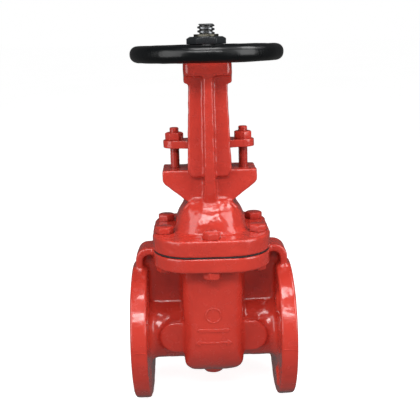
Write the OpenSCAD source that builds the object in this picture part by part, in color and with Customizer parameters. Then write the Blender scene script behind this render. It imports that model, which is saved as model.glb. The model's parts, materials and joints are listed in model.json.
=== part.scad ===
// Flanged outside-screw-and-yoke gate valve with a rising stem, DN 50 (2 inch), shown closed.
// Origin: centre of the inlet flange's raised face. X runs along the pipe, Z up the stem.
// The outline modules work about the stem axis, and at_stem() moves them to their place.

/* [Pipe flanges] */
// Distance between the two raised faces
face_to_face = 177.8; // [170:0.1:190]
// Outer diameter of a pipe flange
flange_d = 152.4; // [150:0.1:165]
// Thickness of a pipe flange without its raised face
flange_t = 17.5; // [15:0.5:20]
// Diameter of the raised face
raised_face_d = 92.1; // [88:0.1:102]
// Height of the raised face
raised_face_h = 1.6; // [1:0.1:3]
// Diameter of the pipe bolt circle
pipe_bolt_pcd = 120.65; // [118:0.05:126]
// Diameter of a bolt hole in the inlet flange
inlet_hole_d = 19.05; // [18:0.05:20]
// Diameter of a bolt hole in the outlet flange
outlet_hole_d = 19.4; // [18:0.05:20]
// Number of pipe bolt holes
pipe_bolt_count = 4; // [4:4:8]

/* [Body] */
// Diameter of the bore of the seat rings
bore_d = 50.8; // [48:0.1:51]
// Diameter of the cast port from a flange to its seat ring
port_d = 52; // [51.2:0.1:54]
// Outer diameter of the neck between a flange and the gate housing
neck_d = 65.2; // [63:0.1:70]
// Half width of the gate housing along the pipe
housing_x = 32.5; // [31:0.5:34]
// Half depth of the gate housing across the pipe
housing_y = 47.5; // [46:0.5:48]
// Radius of the rounded edges of the gate housing
housing_edge_r = 15; // [10:1:18]
// Half length of the cast oblong pad on each neck
pad_x = 58.7; // [50:0.1:60]
// Half height of the oblong pad
pad_z = 17.4; // [14:0.1:18]
// Distance from the stem axis to the face of the pad
pad_y = 36; // [35:0.5:40]
// Height of the pad's middle over the pipe axis
pad_rise = 2; // [0:0.5:3]
// Thickness of the strap that ties each pipe flange to the body flange
strap_t = 7.6; // [6:0.2:9]
// Half width of the strap
strap_y = 17; // [12:1:20]
// Thickness of the web behind the strap
web_t = 10; // [6:1:12]
// Radius of the blank boss under the housing, where it leaves the housing
drain_boss_r = 13; // [8:0.5:14]

/* [Body flange and bonnet flange] */
// Half size of both flanges along the pipe
cover_x = 62.4; // [62:0.2:68]
// Half size of both flanges across the pipe
cover_y = 68; // [67:0.5:72]
// Corner radius of both flanges
cover_r = 42; // [38:1:48]
// Height of the body flange's underside over the pipe axis
body_flange_z = 84.6; // [84:0.1:88]
// Thickness of the body flange
body_flange_t = 15.8; // [14:0.1:18]
// Thickness of the gasket
gasket_t = 1.2; // [0.8:0.1:2]
// Thickness of the bonnet flange
bonnet_flange_t = 17.3; // [14:0.1:20]
// Radius of the circle of the six bonnet bolts
cover_bolt_r = 57; // [56:0.2:58]

/* [Bonnet and yoke] */
// Half width of the bonnet dome along the pipe
dome_x = 38.3; // [37:0.1:39]
// Half depth of the bonnet dome across the pipe
dome_y = 45.5; // [44:0.5:46]
// Height of the top of the dome over the pipe axis
dome_top_z = 156; // [154:1:158]
// Height of the top of the gland wings
wing_top_z = 184; // [182:0.5:186]
// Half length of the gland wings
wing_x = 50; // [48:0.5:52]
// Half depth of the gland wings
wing_y = 22.5; // [22:0.5:24]
// Half width of a yoke arm at its foot
arm_foot_x = 23; // [20:0.5:25]
// Half width of a yoke arm under the crown
arm_head_x = 19.8; // [17:0.2:21]
// Half distance between the inner faces of the two yoke arms
arm_inner_y = 21.2; // [21:0.2:23]
// Thickness of a yoke arm
arm_t = 8.8; // [7:0.2:10]
// Depth of the rib outside a yoke arm
rib_h = 9.5; // [7:0.5:10]
// Height of the underside of the yoke crown
crown_z = 274; // [272:1:276]
// Height of the top of the yoke crown
crown_top_z = 297; // [296:0.5:298]
// Half width of the yoke crown
crown_x = 24.6; // [24:0.2:27]
// Half depth of the yoke crown
crown_y = 41; // [40:0.5:43]

/* [Stem and wedge] */
// Diameter of the stem
stem_d = 18; // [16:0.1:19]
// Height of the stem's top with the valve closed
stem_top_z = 333.2; // [328:0.2:345]
// Lift from closed to fully open
lift = 57; // [50:0.5:57]
// Slope of each seat face from the vertical, in degrees
wedge_angle = 5; // [3:0.5:6]
// Distance from the stem axis to a seat face, at the height of the pipe axis
seat_x = 12; // [11:0.5:14]
// Radius of the wedge
wedge_r = 33; // [32:0.5:34]

/* [Handwheel] */
// Outer diameter of the handwheel
wheel_d = 160; // [150:1:180]
// Radial thickness of the rim
rim_w = 16; // [14:0.5:18]
// Height of the rim's section
rim_h = 17; // [15:0.5:19]
// Height of the middle of the rim over the pipe axis
wheel_z = 303.8; // [303:0.2:308]
// Number of spokes
spoke_count = 5; // [3:1:5]

/* [Fasteners] */
// Diameter of the bonnet bolts and gland studs
bolt_d = 10; // [8:1:10]
// Width across flats of their heads and nuts
bolt_af = 17; // [13:1:17]
// Height of a bolt head
bolt_head_h = 7; // [5:0.5:7]
// Height of a nut
nut_h = 8; // [6:0.5:9]
// Distance from the stem axis to a gland stud
stud_x = 36.6; // [36:0.1:38]
// Height of the underside of the gland flange
gland_z = 205.8; // [204:0.2:210]
// Thickness of the gland flange
gland_t = 8; // [6:0.5:9]

/* [Hidden] */
$fn = 96;

PAINT = "firebrick";
BRONZE = "peru";
STEEL = "lightsteelblue";
BLACK = "dimgray";
GRAPHITE = "darkslategray";

// Extra length that lets one shape cut right through another
cut = 1;
// Radial clearance of a running fit
run_gap = 0.05;
// Radial clearance of a still fit
still_gap = 0.03;
// Clearance between end faces
face_gap = 0.1;
// Hair by which a corner radius stays under half the height of its outline
round_hair = 0.01;
// Size of the block that stands for the half space behind a seat face
half_space = 200;

// Pipe flanges, measured from the stem axis
rim_x = face_to_face / 2 - raised_face_h;
flange_in_x = rim_x - flange_t;
flange_r = flange_d / 2;
bore_r = bore_d / 2;
neck_r = neck_d / 2;
neck_fillet = 7;
flange_edge = 1.5;

// Body and its inside
housing_bottom_r = 28;
drain_boss_z = -53.5;
drain_boss_tip_r = 10;
drain_boss_root = 8;
chamber_x = 24.5;
chamber_y = 39;
chamber_edge_r = 10;
chamber_bottom_r = 20;
guide_w = 8;
guide_y = 34.4;
guide_foot_z = -14;
seat_boss_r = 35.5;
seat_boss_x = 26;
seat_boss_back = 1.2;
seat_ring_r = 31;
seat_ring_back_x = 24;
seat_gap = 0.05;
strap_top_z = 98.6;
strap_outer_x = 82.6;
strap_outer_r = 13;
strap_inner_r = 7.5;
strap_foot_z = 66;

// Body flange, gasket and bonnet flange
body_top_z = body_flange_z + body_flange_t;
bonnet_z = body_top_z + gasket_t;
bonnet_flange_top_z = bonnet_z + bonnet_flange_t;
gasket_inset = 0.6;
gasket_in_x = 26.5;
gasket_in_y = 40;
cover_bolt_count = 6;
cover_hole_d = bolt_d + 1;
cover_bolt_end = 2;

// Dome, stuffing box and yoke
dome_edge_r = 28;
dome_top_r = 36;
dome_wall = 7.5;
cavity_top_z = 145;
wing_shoulder = [47.6, 169];
wing_end_z = 172.5;
wing_root = [27.2, 153];
wing_foot = [18, 146];
packing_r = 15;
backseat_z = 145.3;
backseat_t = 12;
backseat_seat_h = 4;
backseat_r = 16;
backseat_gap = 0.3;
backseat_bore_z = 139;
stuffing_floor_z = backseat_z + backseat_t;
rib_head_w = 9.4;
rib_foot_w = 11;
rib_root = 3;
rib_base_z = 142;
rib_base_flare = 2;
rib_knee_z = 150;
rib_heel_z = 162;
rib_full_z = 188;
arm_front_y = arm_inner_y + arm_t;
crown_brow_z = 282;
crown_brow_r = 5;
crown_edge_r = 7;
arm_foot_z = 178;
arm_foot_r = 4;

// Packing and gland
packing_base_h = 3;
packing_count = 4;
packing_ring_h = 5;
packing_ring_gap = 0.05;
packing_base_z = stuffing_floor_z;
packing_z = packing_base_z + packing_base_h;
packing_top_z = packing_z + packing_count * packing_ring_h;
follower_collar_h = 5;
follower_collar_r = 18;
gland_mid_r = 19;
gland_end_r = 12;
stud_foot_z = 167;
stud_foot_gap = 0.5;
stud_end = 5.2;
gland_hole_r = 10;

// Stem and wedge
stem_r = stem_d / 2;
stem_hole_r = stem_r + run_gap;
facing_r = 31;
facing_in_r = 26.2;
facing_h = 1.6;
boss_x = 13;
boss_y = 17;
boss_top_z = 52;
boss_edge_r = 5;
tee_z = 36;
tee_h = 9;
tee_y = 12;
tee_x = 9;
tee_neck = 13;
tee_gap = 0.4;
stem_tip = 1.5;
collar_r = 13;
collar_h = 4;
collar_z = backseat_z - backseat_gap - collar_h - lift;
guide_slot_gap = 0.6;
lug_y = 37;
lug_x = 9.5;
lug_root = 6;
lug_foot_z = -8;
lug_top_z = 22;

// Yoke sleeve, its bearings and the handwheel
sleeve_r = 14;
sleeve_collar_r = 18;
sleeve_collar_z = 284.1;
sleeve_collar_h = 6;
washer_h = 2;
washer_in_r = sleeve_r + 0.3;
washer_r = 19;
cap_r = 20;
cap_z = 292.3;
cap_top_z = 299;
cap_slot_w = 4;
cap_slot_depth = 1.5;
hub_z = 299.6;
hub_h = 13.2;
hub_r = 19;
hub_seat_r = 13;
sleeve_top_z = 322.8;
key_w = 6;
key_h = 6;
key_short = 0.4;
key_z = hub_z + key_short;
wheel_nut_af = 36;
wheel_nut_h = 7.6;
rim_r = wheel_d / 2 - rim_w / 2;
spoke_hub_w = 15;
spoke_rim_w = 12;
spoke_t = 7.5;
spoke_rim_t = 6.5;
spoke_bite = 4;
first_spoke = 90;

// ---------- helpers ----------

module at_stem() {
    translate([face_to_face / 2, 0, 0]) children();
}

// Prism drawn in the X-Z plane and centred on Y = 0
module side_prism(half_depth) {
    rotate([90, 0, 0]) linear_extrude(2 * half_depth, center = true) children();
}

// Prism drawn in the Y-Z plane and centred on X = 0
module end_prism(half_width) {
    rotate([90, 0, 90]) linear_extrude(2 * half_width, center = true) children();
}

// Upright prism between two heights
module upright(z1, z2) {
    translate([0, 0, z1]) linear_extrude(z2 - z1) children();
}

// Tube or disc about the stem axis between two heights
module disc(r, z1, z2) {
    translate([0, 0, z1]) cylinder(h = z2 - z1, r = r);
}

module ring(r_out, r_in, z1, z2) {
    difference() {
        disc(r_out, z1, z2);
        disc(r_in, z1 - cut, z2 + cut);
    }
}

// Disc about the pipe axis between two distances from the stem
module pipe_disc(r, x1, x2) {
    translate([x1, 0, 0]) rotate([0, 90, 0]) cylinder(h = x2 - x1, r = r);
}

module rounded_box_2d(half_x, half_y, r) {
    square([2 * (half_x - r), 2 * half_y], center = true);
    square([2 * half_x, 2 * (half_y - r)], center = true);
    for (sx = [-1, 1], sy = [-1, 1])
        translate([sx * (half_x - r), sy * (half_y - r)]) circle(r);
}

// Upright outline with a rounded end at low_z or high_z and square corners at the other end
module arch_2d(half_w, low, high, r) {
    half_h = (high - low) / 2;
    translate([0, low + half_h]) rounded_box_2d(half_w, half_h, r);
}

module hexagon(across_flats) {
    circle(r = across_flats / sqrt(3), $fn = 6);
}

module at_cover_bolts() {
    for (i = [0 : cover_bolt_count - 1])
        rotate([0, 0, 90 + i * 360 / cover_bolt_count]) translate([cover_bolt_r, 0, 0]) children();
}

module at_studs() {
    for (side = [-1, 1]) translate([side * stud_x, 0, 0]) children();
}

module cover_outline(inset = 0) {
    rounded_box_2d(cover_x - inset, cover_y - inset, cover_r - inset);
}

module both_sides() {
    children();
    mirror([1, 0, 0]) children();
}

// Everything on the stem's side of a seat face at +X, moved out by shift
module inside_seat(shift = 0) {
    translate([seat_x + shift, 0, 0]) rotate([0, wedge_angle, 0])
        translate([-half_space, -half_space / 2, -half_space / 2]) cube(half_space);
}

// ---------- body ----------

module body_flange_ring() {
    pipe_disc(flange_r - flange_edge, flange_in_x, rim_x);
    pipe_disc(flange_r, flange_in_x + flange_edge, rim_x - flange_edge);
    for (x = [flange_in_x, rim_x - 2 * flange_edge])
        translate([x + flange_edge, 0, 0]) rotate([0, 90, 0])
            rotate_extrude() translate([flange_r - flange_edge, 0]) circle(flange_edge);
    pipe_disc(raised_face_d / 2, rim_x - cut, face_to_face / 2);
}

module neck_root() {
    translate([flange_in_x, 0, 0]) rotate([0, -90, 0]) rotate_extrude() difference() {
        translate([neck_r - cut, -cut]) square([neck_fillet + cut, neck_fillet + cut]);
        translate([neck_r + neck_fillet, neck_fillet]) circle(neck_fillet);
    }
}

module strap_2d() {
    inner_x = strap_outer_x - strap_t;
    inner_z = strap_top_z - strap_t;
    difference() {
        translate([0, strap_foot_z]) square([strap_outer_x, strap_top_z - strap_foot_z]);
        translate([strap_outer_x - strap_outer_r, strap_top_z - strap_outer_r]) difference() {
            square(strap_outer_r + cut);
            circle(strap_outer_r);
        }
        translate([-cut, strap_foot_z - cut])
            square([inner_x - strap_inner_r + cut, inner_z - strap_foot_z + cut]);
        translate([-cut, strap_foot_z - cut])
            square([inner_x + cut, inner_z - strap_inner_r - strap_foot_z + cut]);
        translate([inner_x - strap_inner_r, inner_z - strap_inner_r]) circle(strap_inner_r);
    }
}

// Web behind the strap, which fills the corner up to the middle of the strap's thickness
module strap_and_web() {
    web_x = strap_outer_x - strap_t / 2;
    web_top_z = strap_top_z - strap_t / 2;
    corner_x = strap_outer_x - strap_outer_r;
    corner_z = strap_top_z - strap_outer_r;
    side_prism(strap_y) strap_2d();
    side_prism(web_t / 2) {
        square([corner_x, web_top_z]);
        square([web_x, corner_z]);
        translate([corner_x, corner_z]) circle(strap_outer_r - strap_t / 2);
    }
}

module body_outside() {
    both_sides() {
        body_flange_ring();
        neck_root();
        pipe_disc(neck_r, -cut, flange_in_x + cut);
        strap_and_web();
    }
    intersection() {
        end_prism(housing_x) {
            circle(housing_y);
            translate([-housing_y, 0]) square([2 * housing_y, body_top_z - cut]);
        }
        side_prism(housing_y) arch_2d(housing_x, -housing_y, body_top_z + housing_edge_r, housing_bottom_r);
        upright(-housing_y, body_top_z) rounded_box_2d(housing_x, housing_y, housing_edge_r);
    }
    upright(body_flange_z, body_top_z) cover_outline();
    side_prism(pad_y) translate([0, pad_rise]) rounded_box_2d(pad_x, pad_z, pad_z - round_hair);
    translate([0, 0, drain_boss_z])
        cylinder(h = -housing_y - drain_boss_z, r1 = drain_boss_tip_r, r2 = drain_boss_r);
    disc(drain_boss_r, -housing_y, -housing_y + drain_boss_root);
}

module gate_chamber() {
    intersection() {
        end_prism(chamber_x) {
            circle(chamber_y);
            translate([-chamber_y, 0]) square([2 * chamber_y, body_top_z + cut]);
        }
        side_prism(chamber_y)
            arch_2d(chamber_x, -chamber_y, body_top_z + cut + chamber_bottom_r, chamber_bottom_r);
        upright(-chamber_y, body_top_z + cut) rounded_box_2d(chamber_x, chamber_y, chamber_edge_r);
    }
}

module seat_boss() {
    difference() {
        pipe_disc(seat_boss_r, 0, seat_boss_x);
        inside_seat(seat_boss_back);
    }
}

module guide_ribs() {
    for (side = [-1, 1])
        translate([-guide_w / 2, side > 0 ? guide_y : -chamber_y - cut, guide_foot_z])
            cube([guide_w, chamber_y + cut - guide_y, body_top_z - guide_foot_z]);
}

module pipe_bolt_holes(r) {
    for (i = [0 : pipe_bolt_count - 1])
        rotate([(i + 0.5) * 360 / pipe_bolt_count, 0, 0]) translate([0, pipe_bolt_pcd / 2, 0])
            pipe_disc(r, flange_in_x - neck_fillet, rim_x + cut);
}

module valve_body() {
    color(PAINT) at_stem() difference() {
        union() {
            difference() {
                body_outside();
                gate_chamber();
            }
            both_sides() seat_boss();
            guide_ribs();
        }
        both_sides() {
            pipe_disc(port_d / 2, -cut, face_to_face / 2 + cut);
            pipe_disc(seat_ring_r, 0, seat_ring_back_x);
        }
        pipe_bolt_holes(outlet_hole_d / 2);
        mirror([1, 0, 0]) pipe_bolt_holes(inlet_hole_d / 2);
        at_cover_bolts() disc(cover_hole_d / 2, body_flange_z - cut, body_top_z + cut);
    }
}

// Bronze ring in the body, with its face along the slope of the wedge
module seat_ring() {
    color(BRONZE) difference() {
        pipe_disc(seat_ring_r - still_gap, 0, seat_ring_back_x);
        pipe_disc(bore_r, -cut, seat_ring_back_x + cut);
        inside_seat(seat_gap);
    }
}

module seat_ring_outlet() {
    at_stem() seat_ring();
}

module seat_ring_inlet() {
    at_stem() mirror([1, 0, 0]) seat_ring();
}

// ---------- bonnet ----------

module bonnet_gasket() {
    color(GRAPHITE) at_stem() difference() {
        upright(body_top_z, bonnet_z) cover_outline(gasket_inset);
        upright(body_top_z - cut, bonnet_z + cut) rounded_box_2d(gasket_in_x, gasket_in_y, chamber_edge_r);
        at_cover_bolts() disc(cover_hole_d / 2, body_top_z - cut, bonnet_z + cut);
    }
}

// Block with rounded shoulders, seen from the side and from the end
module domed_block(half_x, half_y, foot_z, top_z, top_r, edge_r) {
    intersection() {
        side_prism(half_y) arch_2d(half_x, foot_z - 2 * top_r, top_z, top_r);
        end_prism(half_x) arch_2d(half_y, foot_z - 2 * top_r, top_z, top_r);
        upright(foot_z, top_z) rounded_box_2d(half_x, half_y, edge_r);
    }
}

module wings() {
    side_prism(wing_y) both_sides() polygon([
        [0, wing_top_z], [wing_x, wing_top_z], [wing_x, wing_end_z],
        wing_shoulder, wing_root, wing_foot, [0, wing_foot[1]]
    ]);
}

module yoke_arm() {
    rib_front_y = arm_front_y + rib_h;
    rib_root_y = arm_front_y - rib_root;
    translate([0, arm_inner_y + arm_t / 2, 0]) side_prism(arm_t / 2) both_sides() polygon([
        [0, crown_z + cut], [arm_head_x, crown_z + cut],
        [arm_foot_x, arm_foot_z + 2 * arm_foot_r], [arm_foot_x - arm_foot_r, arm_foot_z],
        [0, arm_foot_z]
    ]);
    intersection() {
        side_prism(rib_front_y) both_sides() polygon([
            [0, crown_brow_z + cut], [rib_head_w / 2, crown_brow_z + cut],
            [rib_foot_w / 2, arm_foot_z], [rib_foot_w / 2 + rib_base_flare, rib_base_z], [0, rib_base_z]
        ]);
        end_prism(rib_foot_w) polygon([
            [wing_y - rib_root, rib_base_z], [rib_root_y + rib_root, rib_knee_z],
            [rib_front_y - arm_foot_r, rib_heel_z], [rib_front_y, rib_full_z],
            [rib_front_y, crown_brow_z + cut], [rib_root_y, crown_brow_z + cut],
            [rib_root_y, arm_foot_z], [wing_y - rib_root, arm_foot_z]
        ]);
    }
}

// Crown seen from the pipe: it overhangs the arms in a brow with a hollow fillet under it
module crown_2d() {
    translate([-arm_front_y, crown_z]) square([2 * arm_front_y, crown_top_z - crown_z]);
    translate([-crown_y, crown_brow_z]) square([2 * crown_y, crown_top_z - crown_brow_z]);
    both_sides() difference() {
        translate([arm_front_y - cut, crown_brow_z - crown_brow_r]) square(crown_brow_r + cut);
        translate([arm_front_y + crown_brow_r, crown_brow_z - crown_brow_r]) circle(crown_brow_r);
    }
}

module crown() {
    intersection() {
        end_prism(crown_x) crown_2d();
        upright(crown_z, crown_top_z) rounded_box_2d(crown_x, crown_y, crown_edge_r);
    }
}

module bonnet() {
    color(PAINT) at_stem() difference() {
        union() {
            upright(bonnet_z, bonnet_flange_top_z) cover_outline();
            domed_block(dome_x, dome_y, bonnet_z, dome_top_z, dome_top_r, dome_edge_r);
            wings();
            yoke_arm();
            mirror([0, 1, 0]) yoke_arm();
            crown();
        }
        domed_block(
            dome_x - dome_wall, dome_y - dome_wall, bonnet_z - cut,
            cavity_top_z, dome_top_r - dome_wall, dome_edge_r - dome_wall
        );
        disc(backseat_r, backseat_bore_z, stuffing_floor_z);
        disc(packing_r, stuffing_floor_z - cut, wing_top_z + cut);
        at_cover_bolts() disc(cover_hole_d / 2, bonnet_z - cut, bonnet_flange_top_z + cut);
        at_studs() disc(bolt_d / 2, stud_foot_z, wing_top_z + cut);
        disc(sleeve_r + run_gap, crown_z - cut, crown_brow_z + cut);
        disc(cap_r + still_gap, crown_brow_z, crown_top_z + cut);
    }
}

module bonnet_bolts() {
    shank_end_z = body_flange_z - nut_h - cover_bolt_end;
    color(PAINT) at_stem() at_cover_bolts() {
        disc(bolt_d / 2, shank_end_z, bonnet_flange_top_z + cut);
        upright(bonnet_flange_top_z, bonnet_flange_top_z + bolt_head_h) rotate(30) hexagon(bolt_af);
    }
}

// Hexagon nut with its faces turned by turn degrees
module hex_nut(across_flats, hole_r, z1, z2, turn = 30) {
    difference() {
        upright(z1, z2) rotate(turn) hexagon(across_flats);
        disc(hole_r, z1 - cut, z2 + cut);
    }
}

module bonnet_nuts() {
    color(PAINT) at_stem() at_cover_bolts()
        hex_nut(bolt_af, bolt_d / 2 + still_gap, body_flange_z - nut_h, body_flange_z);
}

module backseat_bushing() {
    color(BRONZE) at_stem() difference() {
        disc(backseat_r - still_gap, backseat_z, stuffing_floor_z);
        disc(stem_hole_r, backseat_z - cut, stuffing_floor_z + cut);
        translate([0, 0, backseat_z])
            cylinder(h = backseat_seat_h, r1 = stem_hole_r + backseat_seat_h, r2 = stem_hole_r);
    }
}

// ---------- packing and gland ----------

module packing_base_ring() {
    color(BRONZE) at_stem() ring(packing_r - still_gap, stem_hole_r, packing_base_z, packing_z);
}

module packing_rings() {
    color(GRAPHITE) at_stem() for (i = [0 : packing_count - 1]) {
        z = packing_z + i * packing_ring_h;
        ring(packing_r - still_gap, stem_hole_r, z, z + packing_ring_h - packing_ring_gap);
    }
}

module gland_follower() {
    color(BRONZE) at_stem() difference() {
        union() {
            disc(packing_r - still_gap, packing_top_z, gland_z);
            disc(follower_collar_r, gland_z - follower_collar_h, gland_z);
        }
        disc(stem_hole_r, packing_top_z - cut, gland_z + cut);
    }
}

// Oval plate around a middle disc and two smaller end discs
module gland_outline() {
    hull() {
        circle(gland_mid_r);
        for (side = [-1, 1]) translate([side * stud_x, 0]) circle(gland_end_r);
    }
}

module gland_flange() {
    color(PAINT) at_stem() difference() {
        upright(gland_z, gland_z + gland_t) gland_outline();
        disc(gland_hole_r, gland_z - cut, gland_z + gland_t + cut);
        at_studs() disc(cover_hole_d / 2, gland_z - cut, gland_z + gland_t + cut);
    }
}

module gland_studs() {
    color(PAINT) at_stem() at_studs()
        disc(bolt_d / 2 - still_gap, stud_foot_z + stud_foot_gap, gland_z + gland_t + nut_h + stud_end);
}

module gland_nuts() {
    color(PAINT) at_stem() at_studs()
        hex_nut(bolt_af, bolt_d / 2, gland_z + gland_t, gland_z + gland_t + nut_h, 0);
}

// ---------- stem and wedge ----------

module stem() {
    tee_top_z = tee_z + tee_h;
    color(STEEL) at_stem() {
        disc(stem_r, boss_top_z, stem_top_z - stem_tip);
        translate([0, 0, stem_top_z - stem_tip])
            cylinder(h = stem_tip, r1 = stem_r, r2 = stem_r - stem_tip);
        disc(collar_r, collar_z, collar_z + collar_h);
        translate([0, 0, collar_z + collar_h])
            cylinder(h = collar_r - stem_r, r1 = collar_r, r2 = stem_r);
        upright(tee_top_z - cut, boss_top_z + cut) square(tee_neck, center = true);
        upright(tee_z, tee_top_z) square([2 * tee_x, 2 * tee_y], center = true);
    }
}

module tee_slot() {
    slot_x = 2 * chamber_x;
    upright(tee_z - tee_gap, tee_z + tee_h + tee_gap)
        square([slot_x, 2 * (tee_y + tee_gap)], center = true);
    upright(tee_z, boss_top_z + cut)
        square([slot_x, tee_neck + 2 * tee_gap], center = true);
}

module guide_lug(side) {
    translate([-lug_x, side > 0 ? wedge_r - lug_root : -lug_y, lug_foot_z])
        cube([2 * lug_x, lug_y - wedge_r + lug_root, lug_top_z - lug_foot_z]);
}

module guide_slot(side) {
    slot_w = guide_w + 2 * guide_slot_gap;
    floor_y = guide_y - guide_slot_gap;
    translate([-slot_w / 2, side > 0 ? floor_y : -lug_y - cut, lug_foot_z - cut])
        cube([slot_w, lug_y + cut - floor_y, lug_top_z - lug_foot_z + 2 * cut]);
}

module wedge() {
    color(BLACK) at_stem() difference() {
        union() {
            intersection() {
                union() {
                    pipe_disc(wedge_r, -chamber_x, chamber_x);
                    upright(0, boss_top_z) rounded_box_2d(boss_x, boss_y, boss_edge_r);
                }
                inside_seat(-facing_h);
                mirror([1, 0, 0]) inside_seat(-facing_h);
            }
            for (side = [-1, 1]) guide_lug(side);
        }
        tee_slot();
        for (side = [-1, 1]) guide_slot(side);
    }
}

// Bronze facing on one side of the wedge
module wedge_facing() {
    color(BRONZE) difference() {
        intersection() {
            pipe_disc(facing_r, 0, chamber_x);
            inside_seat(0);
        }
        inside_seat(-facing_h);
        pipe_disc(facing_in_r, -cut, chamber_x + cut);
    }
}

module wedge_facing_outlet() {
    at_stem() wedge_facing();
}

module wedge_facing_inlet() {
    at_stem() mirror([1, 0, 0]) wedge_facing();
}

// ---------- yoke sleeve and handwheel ----------

module thrust_washer_lower() {
    color(STEEL) at_stem() ring(washer_r, washer_in_r, crown_brow_z, crown_brow_z + washer_h);
}

module yoke_sleeve() {
    color(BRONZE) at_stem() difference() {
        union() {
            disc(sleeve_r, crown_z - face_gap, hub_z - face_gap);
            disc(sleeve_collar_r, sleeve_collar_z, sleeve_collar_z + sleeve_collar_h);
            disc(hub_seat_r, hub_z - cut, sleeve_top_z);
        }
        disc(stem_hole_r, crown_z - cut, sleeve_top_z + cut);
        translate([hub_seat_r - key_h / 2, -key_w / 2, key_z])
            cube([key_h, key_w, hub_h]);
    }
}

module thrust_washer_upper() {
    z = sleeve_collar_z + sleeve_collar_h + face_gap;
    color(STEEL) at_stem() ring(washer_r, washer_in_r, z, z + washer_h);
}

module yoke_cap() {
    color(STEEL) at_stem() difference() {
        ring(cap_r, sleeve_r + run_gap, cap_z, cap_top_z);
        translate([0, 0, cap_top_z]) cube([3 * cap_r, cap_slot_w, 2 * cap_slot_depth], center = true);
    }
}

module spoke() {
    hull() {
        translate([hub_r - spoke_bite, 0, 0]) cube([cut, spoke_hub_w, spoke_t], center = true);
        translate([rim_r - spoke_bite / 2, 0, 0]) cube([cut, spoke_rim_w, spoke_rim_t], center = true);
    }
}

module handwheel() {
    color(BLACK) at_stem() difference() {
        union() {
            translate([0, 0, wheel_z]) rotate_extrude() translate([rim_r, 0])
                rounded_box_2d(rim_w / 2, rim_h / 2, rim_w / 2 - round_hair);
            disc(hub_r, hub_z, hub_z + hub_h);
            for (i = [0 : spoke_count - 1])
                rotate([0, 0, first_spoke + i * 360 / spoke_count]) translate([0, 0, wheel_z]) spoke();
        }
        disc(hub_seat_r + still_gap, hub_z - cut, hub_z + hub_h + cut);
        translate([hub_seat_r - key_h / 2, -key_w / 2, hub_z - cut])
            cube([key_h, key_w, hub_h + 2 * cut]);
    }
}

module wheel_key() {
    color(STEEL) at_stem() translate([hub_seat_r - key_h / 2 + still_gap, still_gap - key_w / 2, key_z])
        cube([key_h - 2 * still_gap, key_w - 2 * still_gap, hub_h - 2 * key_short]);
}

module wheel_nut() {
    color(BLACK) at_stem()
        hex_nut(wheel_nut_af, hub_seat_r + still_gap, hub_z + hub_h, hub_z + hub_h + wheel_nut_h, 0);
}

valve_body();
seat_ring_inlet();
seat_ring_outlet();
bonnet_gasket();
bonnet();
bonnet_bolts();
bonnet_nuts();
backseat_bushing();
packing_base_ring();
packing_rings();
gland_follower();
gland_flange();
gland_studs();
gland_nuts();
stem();
wedge();
wedge_facing_inlet();
wedge_facing_outlet();
thrust_washer_lower();
yoke_sleeve();
thrust_washer_upper();
yoke_cap();
handwheel();
wheel_key();
wheel_nut();
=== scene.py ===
import json
import math

import bmesh
import bpy
import numpy as np
from mathutils import Matrix, Vector, noise


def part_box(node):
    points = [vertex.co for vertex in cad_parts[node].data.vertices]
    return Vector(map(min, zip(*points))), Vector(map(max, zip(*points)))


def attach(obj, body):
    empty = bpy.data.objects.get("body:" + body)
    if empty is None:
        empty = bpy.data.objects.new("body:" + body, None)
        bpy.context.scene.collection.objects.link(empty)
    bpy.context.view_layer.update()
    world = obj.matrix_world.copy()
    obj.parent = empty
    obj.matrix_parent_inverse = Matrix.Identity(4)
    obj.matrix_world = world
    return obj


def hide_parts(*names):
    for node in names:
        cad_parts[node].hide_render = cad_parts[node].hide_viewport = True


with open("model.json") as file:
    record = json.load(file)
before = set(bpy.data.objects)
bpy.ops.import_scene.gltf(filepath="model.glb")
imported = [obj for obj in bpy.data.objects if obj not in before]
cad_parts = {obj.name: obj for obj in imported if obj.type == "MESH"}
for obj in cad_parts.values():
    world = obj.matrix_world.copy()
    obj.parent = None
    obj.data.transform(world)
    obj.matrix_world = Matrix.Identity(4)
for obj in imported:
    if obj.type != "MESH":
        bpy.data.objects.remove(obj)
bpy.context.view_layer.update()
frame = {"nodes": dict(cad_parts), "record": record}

MM = 0.001
NODES = frame["nodes"]
MOUNTS = {m["name"]: m for m in frame["record"]["mounts"]}

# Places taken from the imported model, in metres
body_lo, body_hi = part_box("valve_body")
bonnet_lo, bonnet_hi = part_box("bonnet")
gasket_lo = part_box("bonnet_gasket")[0]
stem_lo, stem_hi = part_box("stem")
face_to_face = body_hi.x
axis_x = face_to_face / 2
flange_r = -body_lo.z
flange_bolts = {end: MOUNTS[end + "_flange_bolts"]["dims"] for end in ("inlet", "outlet")}
bore_r = MOUNTS["inlet_port"]["dims"]["r_mm"] * MM

# Sizes of the machined and cast detail
RAISED_FACE_H = 1.6 * MM
RAISED_FACE_R = 46.05 * MM
FLANGE_T = 17.5 * MM
GROOVE_PITCH = 0.8 * MM
GROOVE_DEPTH = 0.15 * MM
CAST_VOXEL = 0.8 * MM
HOUSING_Y = 47.5 * MM
CHAMBER_X = 24.5 * MM
CHAMBER_Y = 39 * MM
CHAMBER_BOTTOM_R = 20 * MM
HALF_WALL = 4 * MM
BODY_FLANGE_Z = 84.6 * MM
BONNET_FLANGE_TOP = 118.9 * MM
DOME_TOP_Z = 156 * MM
DOME_TOP_R = 36 * MM
DOME_X = 38.3 * MM
DOME_Y = 45.5 * MM
DOME_PLAN_POWER = 2.4
DOME_RISE_POWER = 2.1
STUFFING_R = 15 * MM
STUFFING_Z = 157.3 * MM
BACKSEAT_R = 16 * MM
BACKSEAT_Z = 139 * MM
WING_TOP_Z = 184 * MM
STUD_FOOT_Z = 167 * MM
SLEEVE_R = 14.05 * MM
CROWN_Z = 274 * MM
CAP_R = 20.03 * MM
CAP_SEAT_Z = 282 * MM
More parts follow.
